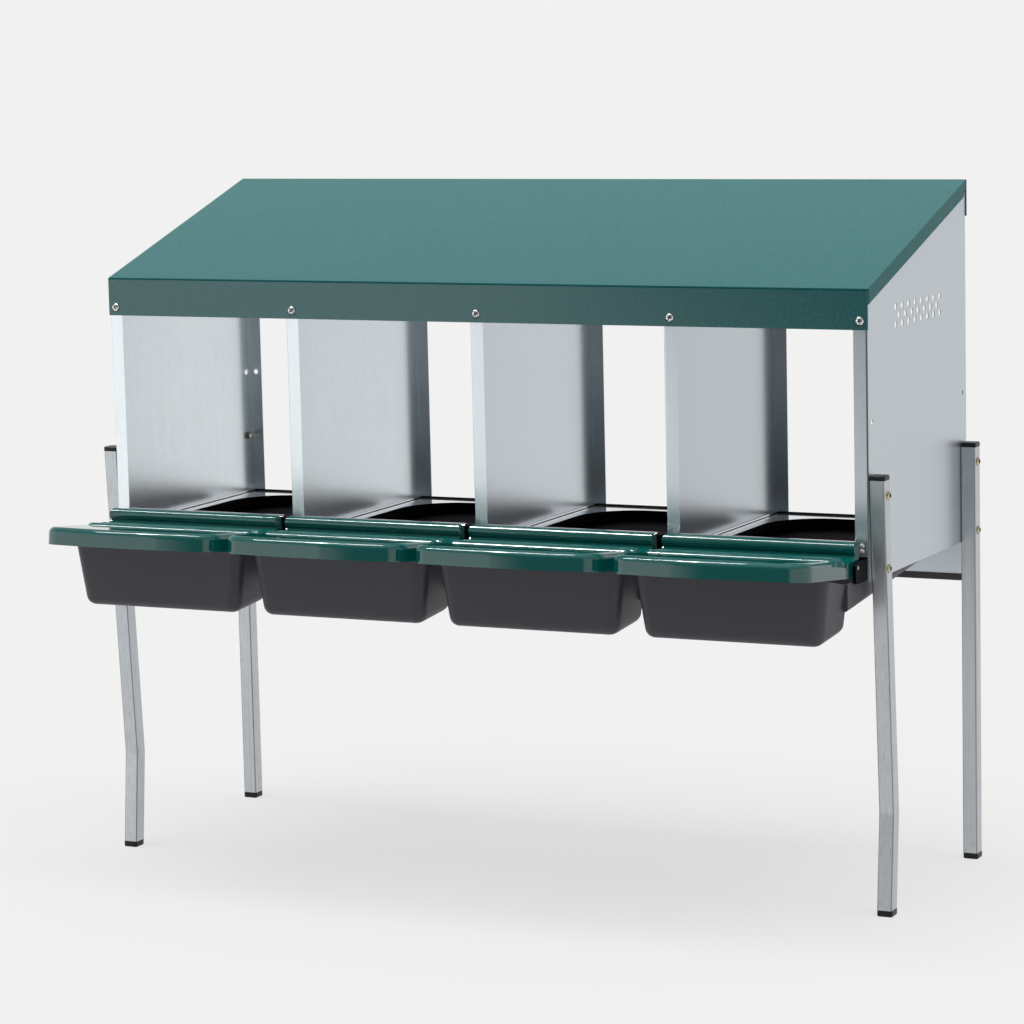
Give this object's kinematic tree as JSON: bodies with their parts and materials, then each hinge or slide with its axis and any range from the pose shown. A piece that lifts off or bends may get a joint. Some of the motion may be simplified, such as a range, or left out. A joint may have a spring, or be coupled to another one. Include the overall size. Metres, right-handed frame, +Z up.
{
  "type": "chicken nesting box",
  "caption": "Raised roll-away hen nest box: sloped roof on folded sheet walls and bent tube legs, moulded nests with sloping floors, and egg trays under hinged lids.",
  "frame": {"origin": "on the floor, under the middle of the overall width and depth", "axes": "+Z up, X along the row of nests, hens and eggs on the -Y side, the roof rises towards +Y"},
  "size_m": [1.127, 0.5927, 0.899],
  "materials": {
    "roof_paint": "satin green paint",
    "galvanised": "galvanised sheet",
    "leg_steel": "galvanised square tube",
    "black_plastic": "matte black",
    "yellow_zinc": "yellow zinc plate",
    "zinc": "bright zinc plate",
    "tub_plastic": "matte charcoal",
    "insert_plastic": "glossy black",
    "lid_plastic": "glossy dark green"
  },
  "bodies": {
    "house": {"roof": "roof_paint", "side_panel_left": "galvanised", "side_panel_right": "galvanised", "divider_1": "galvanised", "divider_2": "galvanised", "divider_3": "galvanised", "rear_rail": "galvanised", "leg_front_left": "leg_steel", "leg_front_right": "leg_steel", "leg_rear_left": "leg_steel", "leg_rear_right": "leg_steel", "leg_caps": "black_plastic", "leg_feet": "black_plastic", "rail_trim": "black_plastic", "leg_bolts": "yellow_zinc", "leg_nuts": "yellow_zinc", "roof_screws": "zinc", "rail_screws": "zinc", "insert_rivets": "zinc", "hinge_pins_1": "zinc", "hinge_pins_2": "zinc", "hinge_pins_3": "zinc", "hinge_pins_4": "zinc", "nest_tub_1": "tub_plastic", "nest_tub_2": "tub_plastic", "nest_tub_3": "tub_plastic", "nest_tub_4": "tub_plastic", "nest_insert_1": "insert_plastic", "nest_insert_2": "insert_plastic", "nest_insert_3": "insert_plastic", "nest_insert_4": "insert_plastic"},
    "lid_1": {"egg_lid_1": "lid_plastic"},
    "lid_2": {"egg_lid_2": "lid_plastic"},
    "lid_3": {"egg_lid_3": "lid_plastic"},
    "lid_4": {"egg_lid_4": "lid_plastic"}
  },
  "joints": [
    {"name": "lid_hinge_1", "type": "hinge", "parent": "house", "child": "lid_1", "pos_m": [-0.405, -0.11143, 0.448], "axis": [-1, 0, 0], "range_deg": [0, 90]},
    {"name": "lid_hinge_2", "type": "hinge", "parent": "house", "child": "lid_2", "pos_m": [-0.135, -0.11143, 0.448], "axis": [-1, 0, 0], "range_deg": [0, 90]},
    {"name": "lid_hinge_3", "type": "hinge", "parent": "house", "child": "lid_3", "pos_m": [0.135, -0.11143, 0.448], "axis": [-1, 0, 0], "range_deg": [0, 90]},
    {"name": "lid_hinge_4", "type": "hinge", "parent": "house", "child": "lid_4", "pos_m": [0.405, -0.11143, 0.448], "axis": [-1, 0, 0], "range_deg": [0, 90]}
  ]
}
